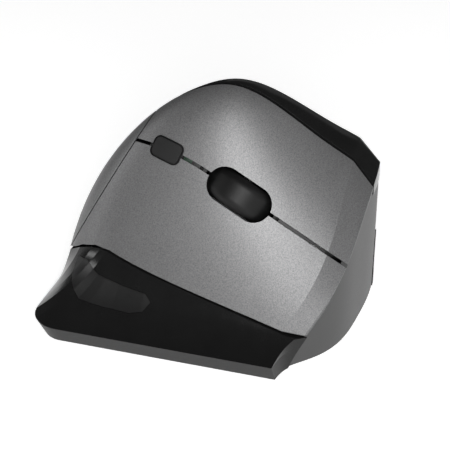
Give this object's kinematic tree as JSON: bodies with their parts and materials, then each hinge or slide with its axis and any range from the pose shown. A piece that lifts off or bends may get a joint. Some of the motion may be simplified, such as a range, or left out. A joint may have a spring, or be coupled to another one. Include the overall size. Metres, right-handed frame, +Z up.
{
  "type": "computer mouse",
  "caption": "Tall upright wireless computer mouse with a sloping finger face, long keys, a scroll wheel in a slit, a wrapping glossy thumb cover and a flared skirt.",
  "frame": {"origin": "middle of the footprint at desk level", "axes": "+X towards the finger side, +Y towards the front, +Z up"},
  "size_m": [0.074, 0.1028, 0.0795],
  "materials": {
    "metallic_grey": "satin paint with fine metallic flake",
    "gloss_black": "high gloss",
    "satin_grey": "satin",
    "inlay_black": "satin",
    "button_black": "satin",
    "wheel_plastic": "satin",
    "wheel_rubber": "smooth and matte",
    "smoke_clear": "smoky translucent",
    "tray_black": "fine grain",
    "frame_black": "moulded",
    "foot_slick": "smooth low friction",
    "steel": "bright",
    "board": "solder mask",
    "switch_case": "moulded",
    "switch_red": "moulded",
    "cell_wrap": "printed sleeve with metal ends",
    "ribbon": "flat flexible strip"
  },
  "bodies": {
    "chassis": {"base_screws": "steel", "base_tray": "tray_black", "battery": "cell_wrap", "battery_contact": "steel", "battery_spring": "steel", "board_screws": "steel", "dpi_switch": "switch_case", "frame_screws": "steel", "front_cover": "satin_grey", "front_foot": "foot_slick", "key_board": "board", "key_frame": "frame_black", "light_bar": "smoke_clear", "lower_switch": "switch_case", "main_board": "board", "palm_cover": "metallic_grey", "power_switch": "switch_case", "rear_feet": "foot_slick", "receiver_cap": "switch_case", "receiver_plug": "steel", "ribbon_cable": "ribbon", "sensor_chip": "switch_case", "sensor_lens": "smoke_clear", "sensor_window": "tray_black", "side_skirt": "gloss_black", "skirt_inlay": "inlay_black", "status_light": "smoke_clear", "thumb_back_switch": "switch_case", "thumb_board": "board", "thumb_board_screws": "steel", "thumb_cover": "gloss_black", "thumb_forward_switch": "switch_case", "upper_switch": "switch_case", "wheel_switch": "switch_case"},
    "upper_key": {"upper_key": "metallic_grey"},
    "lower_key": {"lower_key": "metallic_grey"},
    "upper_switch_plunger": {"upper_switch_plunger": "switch_red"},
    "lower_switch_plunger": {"lower_switch_plunger": "switch_red"},
    "dpi_button": {"dpi_button": "button_black"},
    "dpi_switch_plunger": {"dpi_switch_plunger": "switch_red"},
    "wheel_mount": {"wheel_carrier": "frame_black", "wheel_encoder": "switch_case"},
    "wheel": {"wheel_hub": "wheel_plastic", "wheel_tyre": "wheel_rubber", "wheel_axle": "frame_black"},
    "wheel_switch_plunger": {"wheel_switch_plunger": "switch_red"},
    "thumb_forward_button": {"thumb_forward_button": "button_black"},
    "thumb_forward_switch_plunger": {"thumb_forward_switch_plunger": "switch_red"},
    "thumb_back_button": {"thumb_back_button": "button_black"},
    "thumb_back_switch_plunger": {"thumb_back_switch_plunger": "switch_red"},
    "battery_door": {"battery_door": "tray_black"},
    "power_slider": {"power_slider": "button_black"}
  },
  "joints": [
    {"name": "upper_key_press", "type": "hinge", "parent": "chassis", "child": "upper_key", "pos_m": [0.00081, -0.02176, 0.06564], "axis": [-0.5144, 0.4265, 0.744], "range_deg": [0, 0.4], "stiffness_Nm_per_rad": 5, "springref_deg": -0.11},
    {"name": "upper_plunger_travel", "type": "slide", "parent": "chassis", "child": "upper_switch_plunger", "axis": [-0.8566, -0.2151, -0.469], "range_m": [0, 0.0006]},
    {"name": "lower_key_press", "type": "hinge", "parent": "chassis", "child": "lower_key", "pos_m": [-0.00433, -0.02305, 0.06283], "axis": [-0.5144, 0.4265, 0.744], "range_deg": [0, 0.4], "stiffness_Nm_per_rad": 5, "springref_deg": -0.11},
    {"name": "lower_plunger_travel", "type": "slide", "parent": "chassis", "child": "lower_switch_plunger", "axis": [-0.8566, -0.2151, -0.469], "range_m": [0, 0.0006]},
    {"name": "dpi_press", "type": "slide", "parent": "chassis", "child": "dpi_button", "axis": [-0.8566, -0.2151, -0.469], "range_m": [0, 0.0004], "stiffness_N_per_m": 500, "springref_m": -0.0005},
    {"name": "dpi_plunger_travel", "type": "slide", "parent": "chassis", "child": "dpi_switch_plunger", "axis": [-0.8566, -0.2151, -0.469], "range_m": [0, 0.0006]},
    {"name": "wheel_click", "type": "slide", "parent": "chassis", "child": "wheel_mount", "axis": [-0.8566, -0.2151, -0.469], "range_m": [0, 0.0004], "stiffness_N_per_m": 500, "springref_m": -0.0005},
    {"name": "wheel_plunger_travel", "type": "slide", "parent": "chassis", "child": "wheel_switch_plunger", "axis": [-0.8566, -0.2151, -0.469], "range_m": [0, 0.0006]},
    {"name": "wheel_spin", "type": "hinge", "parent": "wheel_mount", "child": "wheel", "pos_m": [-0.00126, 0.01072, 0.04559], "axis": [-0.5144, 0.4265, 0.744], "continuous": true},
    {"name": "thumb_forward_press", "type": "slide", "parent": "chassis", "child": "thumb_forward_button", "axis": [0.9797, 0.1666, -0.1114], "range_m": [0, 0.0004], "stiffness_N_per_m": 500, "springref_m": -0.0005},
    {"name": "thumb_forward_plunger_travel", "type": "slide", "parent": "chassis", "child": "thumb_forward_switch_plunger", "axis": [0.9797, 0.1666, -0.1114], "range_m": [0, 0.0006]},
    {"name": "thumb_back_press", "type": "slide", "parent": "chassis", "child": "thumb_back_button", "axis": [0.9797, 0.1666, -0.1114], "range_m": [0, 0.0004], "stiffness_N_per_m": 500, "springref_m": -0.0005},
    {"name": "thumb_back_plunger_travel", "type": "slide", "parent": "chassis", "child": "thumb_back_switch_plunger", "axis": [0.9797, 0.1666, -0.1114], "range_m": [0, 0.0006]},
    {"name": "battery_door_slide", "type": "slide", "parent": "chassis", "child": "battery_door", "axis": [0, -1, 0], "range_m": [0, 0.012]},
    {"name": "power_slide", "type": "slide", "parent": "chassis", "child": "power_slider", "axis": [0, 1, 0], "range_m": [0, 0.0025]}
  ],
  "couplings": [
    {"joint": "upper_plunger_travel", "follows": "upper_key_press", "m_per_rad": 0.059},
    {"joint": "lower_plunger_travel", "follows": "lower_key_press", "m_per_rad": 0.059},
    {"joint": "dpi_plunger_travel", "follows": "dpi_press", "ratio": 1},
    {"joint": "wheel_plunger_travel", "follows": "wheel_click", "ratio": 1},
    {"joint": "thumb_forward_plunger_travel", "follows": "thumb_forward_press", "ratio": 1},
    {"joint": "thumb_back_plunger_travel", "follows": "thumb_back_press", "ratio": 1}
  ]
}
